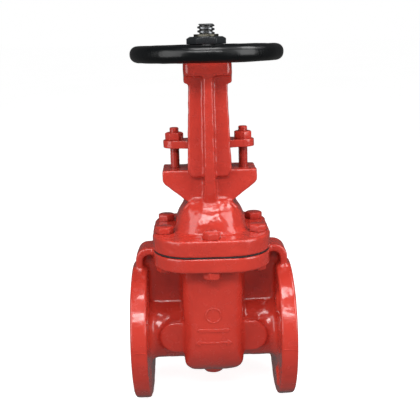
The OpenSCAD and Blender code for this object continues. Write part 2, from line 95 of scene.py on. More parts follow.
SEAT_RING_R = 31 * MM
SEAT_RING_X = 24 * MM
BOLT_AF = 17 * MM
BOLT_R = 5 * MM
BOLT_HOLE_R = 5.5 * MM
SPOT_FACE_R = 10.4 * MM
STEM_R = 9 * MM
STEM_PITCH = 4 * MM
STEM_THREAD_DEPTH = 2.1 * MM
BOLT_PITCH = 1.5 * MM
THREAD_FOOT_Z = 213 * MM
COVER_NUT_BORE_R = 5.03 * MM
GLAND_NUT_BORE_R = 5 * MM
WHEEL_NUT_BORE_R = 13.03 * MM
FLANGE_HOLE_PLUG_R = 10.5 * MM
BOLT_HOLE_PLUG_R = BOLT_HOLE_R + 0.5 * MM
SPOT_FACE_DEPTH = 12 * MM
HUB_CAST_R = 15 * MM

# The cavity in the bonnet, within which its inner skin lies
CAVITY_X = 32 * MM
CAVITY_Y = 39 * MM
CAVITY_TOP_Z = DOME_TOP_Z - 9 * MM

# Where the dome's skin is drawn out, and where it is left to the roots of the gland wings and of the ribs.
# Each pair is where the change starts and where it is complete.
DOME_FOOT_Z = (121 * MM, 126 * MM)
DOME_HEAD_Z = (148 * MM, 153 * MM)
WING_ROOT_Z = (140 * MM, 145 * MM)
WING_ROOT_Y = (24 * MM, 29 * MM)
RIB_ROOT_Z = (135 * MM, 141 * MM)
RIB_ROOT_X = (8 * MM, 14 * MM)
RIB_ROOT_FROM_Y = 20 * MM
DOME_MARGIN = 2 * MM
DOME_MOST_SHARE = 1.45

# How far a cutting tool passes the face that it cuts, and how far a box that trims nothing stands off
OVER = 1 * MM
FAR = 200 * MM

# Band over which cast roughness dies out towards a machined face
FACE_BAND = 2 * MM
BORE_BAND = 3 * MM

# Distance from the stem's axis within which a casting has no roughness
BONNET_SKIN_R = 17 * MM
GLAND_SKIN_R = 11 * MM
HUB_SKIN_R = 14 * MM

# Triangles that a cast skin is thinned down to, and how many fillet passes share one set of normals
MOST_TRIANGLES = 150_000
PASSES_PER_NORMAL = 4

# Fill light in a direction is level + lean . direction, and never under the least.
# Mirrored surfaces see only a share of it.
WORLD_LEAN = (0, 0.02, -0.32)
WORLD_LEVEL = 0.49
WORLD_LEAST = 0.1
WORLD_GLOSS_SHARE = 0.2

# The camera, solved from the flanges in the photograph
CAMERA_PLACE = (0.07737, -0.77693, 0.3187)
CAMERA_LENS = 62.52
CAMERA_SENSOR = 36
CAMERA_YAW = 0.0145
CAMERA_PITCH = 0.2315
CAMERA_ROLL = 0.0239


# ---------- mesh helpers ----------

def new_piece(name, mesh):
    piece = bpy.data.objects.new(name, mesh)
    bpy.context.scene.collection.objects.link(piece)
    return piece


def drop(piece):
    mesh = piece.data
    bpy.data.objects.remove(piece)
    bpy.data.meshes.remove(mesh)


def from_bmesh(name, bm):
    bmesh.ops.remove_doubles(bm, verts=bm.verts, dist=1e-7)
    bmesh.ops.recalc_face_normals(bm, faces=bm.faces)
    mesh = bpy.data.meshes.new(name)
    bm.to_mesh(mesh)
    bm.free()
    return new_piece(name, mesh)


def apply_modifiers(piece):
    graph = bpy.context.evaluated_depsgraph_get()
    mesh = bpy.data.meshes.new_from_object(piece.evaluated_get(graph))
    old = piece.data
    piece.modifiers.clear()
    piece.data = mesh
    bpy.data.meshes.remove(old)
    return piece


def welded_copy(node, name):
    """The CAD node's mesh as one closed surface, in a new object."""
    bm = bmesh.new()
    bm.from_mesh(NODES[node].data)
    return from_bmesh(name, bm)


def boolean(piece, other, operation):
    modifier = piece.modifiers.new("boolean", "BOOLEAN")
    modifier.solver = "MANIFOLD"
    modifier.operation = operation
    modifier.object = other
    apply_modifiers(piece)
    drop(other)
    return piece


def smooth_by_angle(piece, degrees=35):
    """Smooth shading with the edges sharper than the angle kept hard."""
    bm = bmesh.new()
    bm.from_mesh(piece.data)
    limit = math.radians(degrees)
    for face in bm.faces:
        face.smooth = True
    for edge in bm.edges:
        edge.smooth = len(edge.link_faces) == 2 and edge.calc_face_angle(0) < limit
    bm.to_mesh(piece.data)
    bm.free()
    return piece


def soften_edges(piece, width, segments=2, degrees=35):
    modifier = piece.modifiers.new("edges", "BEVEL")
    modifier.width = width
    modifier.segments = segments
    modifier.limit_method = "ANGLE"
    modifier.angle_limit = math.radians(degrees)
    return piece


# Turns shapes drawn along +Z to run along +X
ALONG_X = Matrix.Rotation(math.pi / 2, 4, "Y")


def add_revolved(bm, outline, segments=96, place=Matrix.Identity(4)):
    """Closed solid swept about local Z from a closed outline of (radius, height) points."""
    rows = []
    for i in range(segments):
        turn = 2 * math.pi * i / segments
        rows.append([
            bm.verts.new(place @ Vector((r * math.cos(turn), r * math.sin(turn), z))) for r, z in outline
        ])
    count = len(outline)
    for i in range(segments):
        here, there = rows[i], rows[(i + 1) % segments]
        for k in range(count):
            following = (k + 1) % count
            corners = [here[k], there[k], there[following], here[following]]
            if outline[k][0] == 0 and outline[following][0] == 0:
                continue
            if outline[k][0] == 0:
                corners = [here[k], there[following], here[following]]
            elif outline[following][0] == 0:
                corners = [here[k], there[k], here[following]]
            bm.faces.new(corners)


def revolved(name, outline, segments=96, place=Matrix.Identity(4)):
    bm = bmesh.new()
    add_revolved(bm, outline, segments, place)
    return from_bmesh(name, bm)


def add_box(bm, lo, hi):
    centre = (Vector(lo) + Vector(hi)) / 2
    size = Vector(hi) - Vector(lo)
    place = Matrix.Translation(centre) @ Matrix.Diagonal((*size, 1))
    bmesh.ops.create_cube(bm, size=1, matrix=place)


def add_prism(bm, outline, place, height):
    """Closed prism of a flat (x, y) outline, from local z 0 to height."""
    low = [bm.verts.new(place @ Vector((x, y, 0))) for x, y in outline]
    high = [bm.verts.new(place @ Vector((x, y, height))) for x, y in outline]
    bm.faces.new(list(reversed(low)))
    bm.faces.new(high)
    count = len(outline)
    for i in range(count):
        j = (i + 1) % count
        bm.faces.new([low[i], low[j], high[j], high[i]])


def disc_outline(r, z1, z2):
    return [(0, z1), (r, z1), (r, z2), (0, z2)]


def countersunk_outline(r, z1, z2, flare):
    """A drill from z1 to z2 that opens by flare at both ends; the ends lie flare beyond the faces."""
    return [
        (0, z1 - flare), (r + 2 * flare, z1 - flare), (r, z1 + flare),
        (r, z2 - flare), (r + 2 * flare, z2 + flare), (0, z2 + flare),
    ]


def solid_boxes(node):
    """Lowest and highest corner of each separate solid of a CAD node."""
    bm = bmesh.new()
    bm.from_mesh(NODES[node].data)
    bmesh.ops.remove_doubles(bm, verts=bm.verts, dist=1e-6)
    left, boxes = set(bm.verts), []
    while left:
        front, solid = [left.pop()], []
        while front:
            vert = front.pop()
            solid.append(vert.co.copy())
            for edge in vert.link_edges:
                other = edge.other_vert(vert)
                if other in left:
                    left.remove(other)
                    front.append(other)
        lo = Vector([min(co[i] for co in solid) for i in range(3)])
        hi = Vector([max(co[i] for co in solid) for i in range(3)])
        boxes.append((lo, hi))
    bm.free()
    return sorted(boxes, key=lambda b: tuple(round(x, 5) for x in b[0]))


# ---------- threads and hexagons ----------

def thread(name, radius, depth, pitch, z1, z2, left_hand=False, steps=48, point=1.0):
    """Rod with a trapezoidal thread between two heights. point scales the chamfer of its ends."""
    # root, flank and crest of one turn, as (radius, share of the pitch)
    profile = [(radius - depth, 0.0), (radius - depth, 0.3), (radius, 0.45), (radius, 0.85)]
    turns = math.ceil((z2 - z1) / pitch) + 2
    sense = -1 if left_hand else 1
    bm = bmesh.new()
    rows = []
    for i in range(turns * steps + 1):
        turn = sense * 2 * math.pi * i / steps
        base = z1 - pitch + pitch * i / steps
        rows.append([
            bm.verts.new((r * math.cos(turn), r * math.sin(turn), base + share * pitch))
            for r, share in profile
        ])
    last = len(rows) - 1
    for i in range(last):
        for k in range(3):
            bm.faces.new([rows[i][k], rows[i + 1][k], rows[i + 1][k + 1], rows[i][k + 1]])
        if i + 1 + steps <= last:
            bm.faces.new([rows[i][3], rows[i + 1][3], rows[i + 1 + steps][0], rows[i + steps][0]])
    low = bm.verts.new((0, 0, z1 - pitch))
    high = bm.verts.new((0, 0, z1 - pitch + (turns + 0.5) * pitch))
    low_loop = [rows[i][0] for i in range(steps + 1)] + [rows[0][3], rows[0][2], rows[0][1]]
    high_loop = [rows[last - steps + i][3] for i in range(steps + 1)]
    high_loop += [rows[last][2], rows[last][1], rows[last][0]]
    for loop, tip in ((low_loop, low), (high_loop, high)):
        for i in range(len(loop)):
            bm.faces.new([loop[i], loop[(i + 1) % len(loop)], tip])
    rod = from_bmesh(name, bm)
    chamfer = depth * point
    ends = [
        (0, z1), (radius - chamfer, z1), (radius + 0.1 * MM, z1 + chamfer),
        (radius + 0.1 * MM, z2 - chamfer), (radius - chamfer, z2), (0, z2),
    ]
    return boolean(rod, revolved("ends", ends), "INTERSECT")


def hexagon(name, across_flats, z1, z2, low=True, high=True):
    """Hexagon with its corners turned off at 30 degrees on the chosen faces."""
    corner_r = across_flats / math.sqrt(3)
    turns = [i * math.pi / 3 for i in range(6)]
    outline = [(corner_r * math.cos(turn), corner_r * math.sin(turn)) for turn in turns]
    bm = bmesh.new()
    add_prism(bm, outline, Matrix.Translation((0, 0, z1)), z2 - z1)
    block = from_bmesh(name, bm)
    face_r = 0.475 * across_flats
    outer_r = corner_r + 0.2 * MM
    drop_z = (outer_r - face_r) * math.tan(math.radians(30))
    turned = [
        (0, z1), (face_r, z1) if low else (outer_r, z1), (outer_r, z1 + drop_z * low),
        (outer_r, z2 - drop_z * high), (face_r, z2) if high else (outer_r, z2), (0, z2),
    ]
    turned = [p for i, p in enumerate(turned) if i == 0 or p != turned[i - 1]]
    return boolean(block, revolved("turned", turned), "INTERSECT")


def repeated(name, pattern, places):
    """One piece made of a copy of the pattern at each place; the pattern is used up."""
    bm = bmesh.new()
    for place in places:
        start = len(bm.verts)
        bm.from_mesh(pattern.data)
        bm.verts.ensure_lookup_table()
        bmesh.ops.transform(bm, matrix=place, verts=bm.verts[start:])
    mesh = bpy.data.meshes.new(name)
    bm.to_mesh(mesh)
    bm.free()
    drop(pattern)
    return new_piece(name, mesh)


# ---------- cast shapes ----------

def remeshed(node, name, extra=None, voxel=CAST_VOXEL, passes=4):
    """The CAD node's shape, with the shells that extra adds, as one closed fine mesh."""
    bm = bmesh.new()
    bm.from_mesh(NODES[node].data)
    if extra:
        extra(bm)
    mesh = bpy.data.meshes.new(name)
    bm.to_mesh(mesh)
    bm.free()
    piece = new_piece(name, mesh)
    remesh = piece.modifiers.new("remesh", "REMESH")
    remesh.mode = "VOXEL"
    remesh.voxel_size = voxel
    soft = piece.modifiers.new("soft", "SMOOTH")
    soft.factor = 0.5
    soft.iterations = passes
    return apply_modifiers(piece)


def read_rows(items, key, width=3, kind=np.float64):
    """One key of a mesh's items, as a row of numbers for each item."""
    rows = np.empty(len(items) * width, dtype=kind)
    items.foreach_get(key, rows)
    return rows.reshape(-1, width)


def move_points(piece, points):
    piece.data.vertices.foreach_set("co", points.ravel())
    piece.data.update()
    return piece


def summed(count, places, values):
    """Adds up the rows of values that share a place."""
    return np.stack([np.bincount(places, values[:, axis], count) for axis in range(3)], axis=1)


def unit(rows):
    return rows / np.maximum(np.linalg.norm(rows, axis=1, keepdims=True), 1e-12)


def rise(values, start, end):
    """0 up to start, 1 from end on, smooth between."""
    share = np.clip((values - start) / (end - start), 0, 1)
    return share * share * (3 - 2 * share)


def fillet(piece, passes, proud, is_cast):
    """Fills the hollow corners a little in each pass, and wears proud edges by the share proud of that.

    is_cast(points, normals) is True where the surface may move.
    """
    mesh = piece.data
    mesh.calc_loop_triangles()
    points = read_rows(mesh.vertices, "co")
    first, second = read_rows(mesh.edges, "vertices", 2, np.int64).T
    corners = read_rows(mesh.loop_triangles, "vertices", 3, np.int64)
    count = len(points)
    degree = (np.bincount(first, minlength=count) + np.bincount(second, minlength=count))[:, None]
    for step in range(passes):
        if step % PASSES_PER_NORMAL == 0:
            a, b, c = (points[corners[:, k]] for k in range(3))
            slopes = np.cross(b - a, c - a)
            normals = unit(sum(summed(count, corners[:, k], slopes) for k in range(3)))
        if step == 0:
            free = 0.5 * is_cast(points, normals)[:, None]
        around = (summed(count, first, points[second]) + summed(count, second, points[first])) / degree
        shift = around - points
        out = np.sum(shift * normals, axis=1, keepdims=True)
        points = points + free * (shift - out * normals + np.where(out > 0, out, proud * out) * normals)
    return move_points(piece, points)


def roughen(piece, swell, grain, keep_true):
    """Uneven cast skin. swell and grain are (height, size); keep_true(co) is 0 on a machined face."""
    moved = []
    for vert in piece.data.vertices:
        height = 0
        for amount, size in (swell, grain):
            height += amount * noise.noise(vert.co / size)
        moved.append(vert.co + vert.normal * height * keep_true(vert.co))
    return move_points(piece, np.array(moved))


def thin_out(piece):
    count = sum(len(face.vertices) - 2 for face in piece.data.polygons)
    if count > MOST_TRIANGLES:
        modifier = piece.modifiers.new("thin", "DECIMATE")
        modifier.ratio = MOST_TRIANGLES / count
        apply_modifiers(piece)
    return piece


def fade(distance, reach):
    """0 at a face, rising to 1 at reach from it."""
    share = max(0.0, min(1.0, distance / reach))
    return share * share * (3 - 2 * share)


def limit_to(piece, lo, hi):
    """Cuts the piece flat where it passes the box."""
    bm = bmesh.new()
    add_box(bm, lo, hi)
    return boolean(piece, from_bmesh("limits", bm), "INTERSECT")


# ---------- materials ----------

class Nodes:
    """Short ways to add linked shader nodes to one material."""

    def __init__(self, name):
        self.material = bpy.data.materials.new(name)
        self.material.use_nodes = True
        self.tree = self.material.node_tree
        self.shader = self.tree.nodes["Principled BSDF"]
        self.where = self.tree.nodes.new("ShaderNodeTexCoord").outputs["Object"]

    def add(self, kind, **values):
        node = self.tree.nodes.new(kind)
        for key, value in values.items():
            setattr(node, key, value)
        return node

    def link(self, source, target):
        self.tree.links.new(source, target)

    def noise(self, size, detail=3.0, rough=0.55, stretch=(1, 1, 1)):
        """Noise whose features are about size metres across."""
        mapping = self.add("ShaderNodeMapping")
        mapping.inputs["Scale"].default_value = stretch
        self.link(self.where, mapping.inputs["Vector"])
        node = self.add("ShaderNodeTexNoise")
        node.inputs["Scale"].default_value = 0.5 / size
        node.inputs["Detail"].default_value = detail
        node.inputs["Roughness"].default_value = rough
        self.link(mapping.outputs[0], node.inputs["Vector"])
        return node.outputs["Fac"]

    def ramp(self, value, stops):
        """Colour ramp through (position, colour) stops, where a colour may be one grey number."""
        node = self.add("ShaderNodeValToRGB")
        ramp = node.color_ramp
        while len(ramp.elements) < len(stops):
            ramp.elements.new(0.5)
        for element, (position, colour) in zip(ramp.elements, stops):
            element.position = position
            element.color = (*colour, 1) if isinstance(colour, tuple) else (colour, colour, colour, 1)
        self.link(value, node.inputs[0])
        return node.outputs[0]

    def mix(self, share, first, second, blend="MIX"):
        """Blend of two colours. Inputs 6 and 7 and output 2 are the node's colour sockets."""
        node = self.add("ShaderNodeMix", data_type="RGBA", blend_type=blend)
        for socket, value in ((node.inputs[0], share), (node.inputs[6], first), (node.inputs[7], second)):
            if isinstance(value, bpy.types.NodeSocket):
                self.link(value, socket)
            elif isinstance(value, tuple):
                socket.default_value = (*value, 1)
            else:
                socket.default_value = value
        return node.outputs[2]

    def bump(self, layers):
        """Chained bumps of (height value, strength, depth in metres)."""
        normal = None
        for value, strength, depth in layers:
            node = self.add("ShaderNodeBump")
            node.inputs["Strength"].default_value = strength
            node.inputs["Distance"].default_value = depth
            self.link(value, node.inputs["Height"])
            if normal:
                self.link(normal, node.inputs["Normal"])
            normal = node.outputs[0]
        self.link(normal, self.shader.inputs["Normal"])

    def set(self, **values):
        """Sets or links the shader's inputs, named with _ for a space."""
        for key, value in values.items():
            socket = self.shader.inputs[key.replace("_", " ")]
            if isinstance(value, bpy.types.NodeSocket):
                self.link(value, socket)
            else:
                socket.default_value = value


def enamel(name, light, dark, grain_depth, gloss, lump_depth=0.6 * MM, coat=0.65, shine=0.5):
    """Glossy paint over a rough casting, with painted shade that darkens its base colour in hollows and
    corners. gloss is the (smoothest, roughest) roughness.
    """
    nodes = Nodes(name)
    patches = nodes.noise(30 * MM, 4)
    lumps = nodes.noise(6 * MM, 3)
    grain = nodes.noise(1.1 * MM, 3, 0.6)
    colour = nodes.ramp(patches, [(0.3, dark), (0.7, light)])
    # Painted shade: ambient occlusion darkens the base colour in hollows, corners and under overhangs,
    # standing in for shade that the lamps would cast
    occlusion_probe = nodes.add("ShaderNodeAmbientOcclusion", samples=6)
    occlusion_probe.inputs["Distance"].default_value = 26 * MM
    painted_shade = nodes.ramp(occlusion_probe.outputs["AO"], [(0.1, 0.42), (0.55, 1.0)])
    colour = nodes.mix(1.0, colour, painted_shade, "MULTIPLY")
    nodes.set(Base_Color=colour, Metallic=0.0, IOR=1.5, Specular_IOR_Level=shine)
    nodes.set(Coat_Weight=coat, Coat_Roughness=0.1)
    nodes.set(Roughness=nodes.ramp(lumps, [(0.3, gloss[0]), (0.75, gloss[1])]))
    nodes.bump([(lumps, 0.4, lump_depth), (grain, 0.45, grain_depth)])
    return nodes.material


def turned_metal(name, light, dark, rough):
    """Lathe-turned metal with fine rings and light tarnish. rough is the (least, most) roughness."""
    nodes = Nodes(name)
    stains = nodes.noise(6 * MM, 5, 0.6)
    rings = nodes.noise(0.25 * MM, 2, 0.5, (0.05, 0.05, 1))
    colour = nodes.ramp(stains, [(0.3, dark), (0.62, light)])
    nodes.set(Base_Color=colour, Metallic=1.0)
    nodes.set(Roughness=nodes.ramp(rings, [(0.2, rough[0]), (0.8, rough[1])]))
    nodes.bump([(rings, 0.25, 0.05 * MM), (stains, 0.1, 0.1 * MM)])
    return nodes.material


def greased_thread(name):
    """Steel thread, bright on the crests and dark with grease in the grooves."""
    nodes = Nodes(name)
    grease = nodes.noise(2.5 * MM, 4, 0.6)
    scuffs = nodes.noise(0.5 * MM, 3, 0.5, (1, 1, 0.2))
    place = nodes.add("ShaderNodeSeparateXYZ")
    nodes.link(nodes.where, place.inputs[0])
    across = nodes.add("ShaderNodeMath", operation="SUBTRACT")
    nodes.link(place.outputs["X"], across.inputs[0])
    across.inputs[1].default_value = axis_x
    flat = nodes.add("ShaderNodeCombineXYZ")
    nodes.link(across.outputs[0], flat.inputs["X"])
    nodes.link(place.outputs["Y"], flat.inputs["Y"])
    length = nodes.add("ShaderNodeVectorMath", operation="LENGTH")
    nodes.link(flat.outputs[0], length.inputs[0])
    depth = nodes.add("ShaderNodeMapRange")
    depth.inputs["From Min"].default_value = STEM_R - STEM_THREAD_DEPTH
    depth.inputs["From Max"].default_value = STEM_R
    nodes.link(length.outputs["Value"], depth.inputs["Value"])
    crest = nodes.ramp(depth.outputs[0], [(0.55, 0.0), (0.97, 1.0)])
    steel = nodes.ramp(scuffs, [(0.3, (0.16, 0.17, 0.18)), (0.7, (0.32, 0.33, 0.34))])
    dirt = nodes.ramp(grease, [(0.3, (0.015, 0.017, 0.018)), (0.75, (0.13, 0.13, 0.125))])
    nodes.set(Base_Color=nodes.mix(crest, dirt, steel))
    nodes.set(Metallic=nodes.ramp(crest, [(0.2, 0.35), (0.8, 1.0)]))
    nodes.set(Roughness=nodes.ramp(grease, [(0.3, 0.22), (0.7, 0.42)]))
    nodes.bump([(scuffs, 0.2, 0.08 * MM), (grease, 0.25, 0.2 * MM)])
    return nodes.material


def bare_iron(name, light, dark):
    """Grey iron as it leaves the sand, with spots of rust."""
    nodes = Nodes(name)
    grain = nodes.noise(0.9 * MM, 4, 0.65)
    rust = nodes.noise(7 * MM, 5, 0.6)
    colour = nodes.mix(
        nodes.ramp(rust, [(0.55, 0.0), (0.75, 0.6)]),
        nodes.ramp(grain, [(0.3, dark), (0.7, light)]), (0.16, 0.055, 0.02),
    )
    nodes.set(Base_Color=colour, Metallic=0.7, Roughness=nodes.ramp(rust, [(0.3, 0.45), (0.8, 0.8)]))
    nodes.bump([(grain, 0.5, 0.15 * MM)])
    return nodes.material


def graphite_sheet(name, light, dark, grain_size, braid=0.0):
    """Dark fibrous sheet or packing; braid above 0 adds a crossed weave that many metres wide."""
    nodes = Nodes(name)
    fibres = nodes.noise(grain_size, 4, 0.6, (1, 1, 2.5))
    nodes.set(Base_Color=nodes.ramp(fibres, [(0.3, dark), (0.7, light)]), Metallic=0.0)
    nodes.set(Roughness=nodes.ramp(fibres, [(0.3, 0.55), (0.7, 0.8)]))
    layers = [(fibres, 0.4, 0.1 * MM)]
    if braid:
        weave = nodes.add("ShaderNodeTexVoronoi", distance="MANHATTAN")
        weave.inputs["Scale"].default_value = 1 / braid
        nodes.link(nodes.where, weave.inputs["Vector"])
        layers.append((weave.outputs["Distance"], 0.6, 0.3 * MM))
    nodes.bump(layers)
    return nodes.material


def floor_material(name):
    """Near-white sweep that glows a little, so that only a faint shadow shows on it."""
    nodes = Nodes(name)
    tone = nodes.noise(0.4, 3)
    nodes.set(Base_Color=nodes.ramp(tone, [(0.3, 0.5), (0.7, 0.55)]))
    nodes.set(Roughness=0.9, Specular_IOR_Level=0.0)
    nodes.set(Emission_Color=(1, 1, 1, 1), Emission_Strength=0.88)
    return nodes.material


RED_LIGHT = (0.6, 0.046, 0.029)
RED_DARK = (0.52, 0.036, 0.023)
PAINT = enamel("red_enamel", RED_LIGHT, RED_DARK, grain_depth=0.13 * MM, gloss=(0.16, 0.34))
BOLT_PAINT = enamel(
    "red_enamel_bolts", RED_LIGHT, RED_DARK, grain_depth=0.07 * MM, gloss=(0.22, 0.36),
    lump_depth=0.25 * MM,
)
BLACK = enamel(
    "black_enamel", (0.003, 0.0038, 0.0046), (0.0015, 0.002, 0.0025), grain_depth=0.06 * MM,
    gloss=(0.26, 0.36), lump_depth=0.3 * MM, coat=0.2, shine=0.4,
)
NUT_BLACK = enamel(
    "black_nut", (0.02, 0.023, 0.026), (0.012, 0.014, 0.016), grain_depth=0.06 * MM,
    gloss=(0.26, 0.36), lump_depth=0.2 * MM, coat=0.1,
)
BRONZE = turned_metal("bronze", (0.60, 0.47, 0.27), (0.38, 0.27, 0.13), rough=(0.2, 0.38))
SLEEVE_BRASS = turned_metal("sleeve_brass", (0.12, 0.115, 0.095), (0.07, 0.066, 0.052), rough=(0.3, 0.45))
STEEL = turned_metal("bearing_steel", (0.46, 0.46, 0.46), (0.3, 0.3, 0.3), rough=(0.2, 0.35))
FACED_IRON = turned_metal("faced_iron", (0.34, 0.33, 0.32), (0.2, 0.19, 0.18), rough=(0.3, 0.5))
THREAD_STEEL = greased_thread("stem_steel")
IRON = bare_iron("wedge_iron", (0.22, 0.215, 0.21), (0.12, 0.115, 0.11))
GASKET = graphite_sheet("gasket_sheet", (0.03, 0.03, 0.032), (0.012, 0.012, 0.013), grain_size=0.6 * MM)
PACKING = graphite_sheet(
    "braided_packing", (0.06, 0.06, 0.065), (0.02, 0.02, 0.022), grain_size=0.5 * MM, braid=1.8 * MM
)


def finish_piece(piece, material, body, node):
    piece.data.materials.clear()
    piece.data.materials.append(material)
    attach(piece, body)
    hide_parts(node)
    return piece


# ---------- valve body ----------

def hole_places(end, start):
    """Axis of each bolt hole of one pipe flange from X = start, from the row's mount."""
    dims = flange_bolts[end]
    radius = dims["pcd_mm"] * MM / 2
    for i in range(dims["count"]):
        turn = (i + 0.5) * 2 * math.pi / dims["count"]
        yield Matrix.Translation((start, radius * math.cos(turn), radius * math.sin(turn))) @ ALONG_X


# X of the low side of each pipe flange without its raised face
FLANGE_STARTS = {"inlet": RAISED_FACE_H, "outlet": face_to_face - RAISED_FACE_H - FLANGE_T}

cover_bolts = solid_boxes("bonnet_bolts")
cover_axes = [((lo.x + hi.x) / 2, (lo.y + hi.y) / 2) for lo, hi in cover_bolts]
stud_axes = [((lo.x + hi.x) / 2, (lo.y + hi.y) / 2) for lo, hi in solid_boxes("gland_studs")]


def add_disc(bm, r, z1, z2, x=axis_x, y=0.0, segments=64):
    add_revolved(bm, disc_outline(r, z1, z2), segments, Matrix.Translation((x, y, 0)))


def arrow_outline(half_length, shaft, head, head_length):
    """Outline of an arrow with a head at both ends."""
    right = [
        (half_length - head_length, -shaft), (half_length - head_length, -head), (half_length, 0),
        (half_length - head_length, head), (half_length - head_length, shaft),
    ]
    return right + [(-x, -y) for x, y in right]


def bar_outline(half_length, half_height, steps=8):
    """Outline of a bar with round ends."""
    points = []
    for side in (1, -1):
        for i in range(steps + 1):
            turn = -side * math.pi / 2 + math.pi * i / steps
            middle = side * (half_length - half_height)
            points.append((middle + half_height * math.cos(turn), half_height * math.sin(turn)))
    return points


def front_relief():
    """Low blank shapes cast on the front of the housing: a ring, a bar and a two-way flow arrow."""
    root, proud = 2 * MM, 0.7 * MM
    ring_z, ring_in_r, ring_out_r = 31 * MM, 7 * MM, 9 * MM
    bar_z, arrow_z = 14 * MM, 0
    arrow = arrow_outline(half_length=20 * MM, shaft=1.2 * MM, head=4.2 * MM, head_length=6 * MM)
    bar = bar_outline(half_length=17 * MM, half_height=2.2 * MM)
    front = Matrix.Translation((axis_x, root - HOUSING_Y, 0)) @ Matrix.Rotation(math.pi / 2, 4, "X")
    height = root + proud
    bm = bmesh.new()
    for outline, z in ((arrow, arrow_z), (bar, bar_z)):
        add_prism(bm, outline, front @ Matrix.Translation((0, z, 0)), height)
    ring = [(ring_in_r, 0), (ring_out_r, 0), (ring_out_r, height), (ring_in_r, height)]
    add_revolved(bm, ring, 48, front @ Matrix.Translation((0, ring_z, 0)))
    relief = from_bmesh("relief", bm)
    soften_edges(relief, 0.6 * MM, 3)
    return apply_modifiers(relief)


def flash_ridges():
    """What the mould's parting line leaves on the rims of the pipe flanges."""
    ridge_z, half, proud, inset, root = 2.5 * MM, 0.45 * MM, 0.4 * MM, 1.2 * MM, 3 * MM
    bm = bmesh.new()
    for start in FLANGE_STARTS.values():
        for side in (-1, 1):
            y = sorted((side * (flange_r - root), side * (flange_r + proud)))
            lo = (start + inset, y[0], ridge_z - half)
            hi = (start + FLANGE_T - inset, y[1], ridge_z + half)
            add_box(bm, lo, hi)
    ridges = from_bmesh("ridges", bm)
    soften_edges(ridges, 0.3 * MM)
    return apply_modifiers(ridges)


def body_plugs(bm):
    """Plugs in the drilled holes, which are drilled again after the skin is made."""
    for end, start in FLANGE_STARTS.items():
        for place in hole_places(end, start):
            add_revolved(bm, disc_outline(FLANGE_HOLE_PLUG_R, -3 * OVER, FLANGE_T + OVER), 32, place)
    for x, y in cover_axes:
        add_disc(bm, BOLT_HOLE_PLUG_R, BODY_FLANGE_Z, gasket_lo.z, x, y, 24)


def face_ring_outline():
    """Raised face from the pipe side inwards, with its fine turned grooves, as (radius, depth) points."""
    edge, land, root = 0.3 * MM, 1.2 * MM, 3 * MM
    points = [(bore_r, root), (bore_r, edge), (bore_r + edge, 0)]
    radius = bore_r + land
    while radius < RAISED_FACE_R - land:
        points += [
            (radius, 0), (radius + 0.3 * GROOVE_PITCH, GROOVE_DEPTH), (radius + 0.6 * GROOVE_PITCH, 0)
        ]
        radius += GROOVE_PITCH
    points += [(RAISED_FACE_R - edge, 0), (RAISED_FACE_R, edge), (RAISED_FACE_R, root)]
    return points


def body_is_cast(points, normals):
    """False in the gate chamber and the bore."""
    x, y, z = np.abs(points[:, 0] - axis_x), np.abs(points[:, 1]), points[:, 2]
    from_pipe = np.hypot(y, z)
    chamber = (x < CHAMBER_X + HALF_WALL) & (y < CHAMBER_Y + HALF_WALL)
    chamber &= (z > 0) | (from_pipe < CHAMBER_Y + HALF_WALL)
    across, below = x - (CHAMBER_X - CHAMBER_BOTTOM_R), CHAMBER_BOTTOM_R - CHAMBER_Y - z
    chamber &= (np.minimum(across, below) < 0) | (np.hypot(across, below) < CHAMBER_BOTTOM_R + HALF_WALL)
    return ~(chamber | (from_pipe < bore_r + HALF_WALL))


def body_skin_fade(co):
    """0 on the machined ends, top and bore of the body, 1 on its cast skin."""
    ends = min(co.x, face_to_face - co.x) - RAISED_FACE_H
    top = gasket_lo.z - co.z
    inside = math.hypot(co.y, co.z) - bore_r
    return fade(ends, FACE_BAND) * fade(top, FACE_BAND) * fade(inside, BORE_BAND)


def machine_body(piece):
    """Cuts the holes, seats and bore of the body, and puts on its two raised faces."""
    drills, spots = bmesh.new(), bmesh.new()
    for end, start in FLANGE_STARTS.items():
        hole_r = flange_bolts[end]["hole_r_mm"] * MM
        for place in hole_places(end, start):
            add_revolved(drills, countersunk_outline(hole_r, 0, FLANGE_T, 0.4 * MM), 48, place)
    for x, y in cover_axes:
        add_disc(drills, BOLT_HOLE_R, BODY_FLANGE_Z - OVER, gasket_lo.z + OVER, x, y, 32)
        add_disc(spots, SPOT_FACE_R, BODY_FLANGE_Z - SPOT_FACE_DEPTH, BODY_FLANGE_Z, x, y)
    boolean(piece, from_bmesh("drills", drills), "DIFFERENCE")
    boolean(piece, from_bmesh("spots", spots), "DIFFERENCE")
    pipe = Matrix.Translation((axis_x, 0, 0)) @ ALONG_X
    for name, radius, half_length in (("bore", bore_r, axis_x), ("seats", SEAT_RING_R, SEAT_RING_X)):
        tool = revolved(name, disc_outline(radius, -half_length, half_length), 96, pipe)
        boolean(piece, tool, "DIFFERENCE")
    for end_x, side in ((0, 1), (face_to_face, -1)):
        place = Matrix.Translation((end_x, 0, 0)) @ Matrix.Diagonal((side, 1, 1, 1)) @ ALONG_X
        boolean(piece, revolved("face", face_ring_outline(), 128, place), "UNION")


def make_body():
    piece = remeshed("valve_body", "valve_body_casting", body_plugs)
    fillet(piece, passes=90, proud=0.2, is_cast=body_is_cast)
    roughen(piece, swell=(0.4 * MM, 12 * MM), grain=(0.15 * MM, 4 * MM), keep_true=body_skin_fade)
    thin_out(piece)
    wide = flange_r + 0.2 * MM
    limit_to(
        piece, (RAISED_FACE_H, -wide, -flange_r), (face_to_face - RAISED_FACE_H, wide, gasket_lo.z)
    )
    boolean(piece, front_relief(), "UNION")
    boolean(piece, flash_ridges(), "UNION")
    machine_body(piece)
    smooth_by_angle(piece, 40)
    finish_piece(piece, PAINT, "casing", "valve_body")
    piece.data.materials.append(FACED_IRON)
    for face in piece.data.polygons:
        ends = min(face.center.x, face_to_face - face.center.x)
        if ends < RAISED_FACE_H - 0.05 * MM:
            face.material_index = 1
    return piece


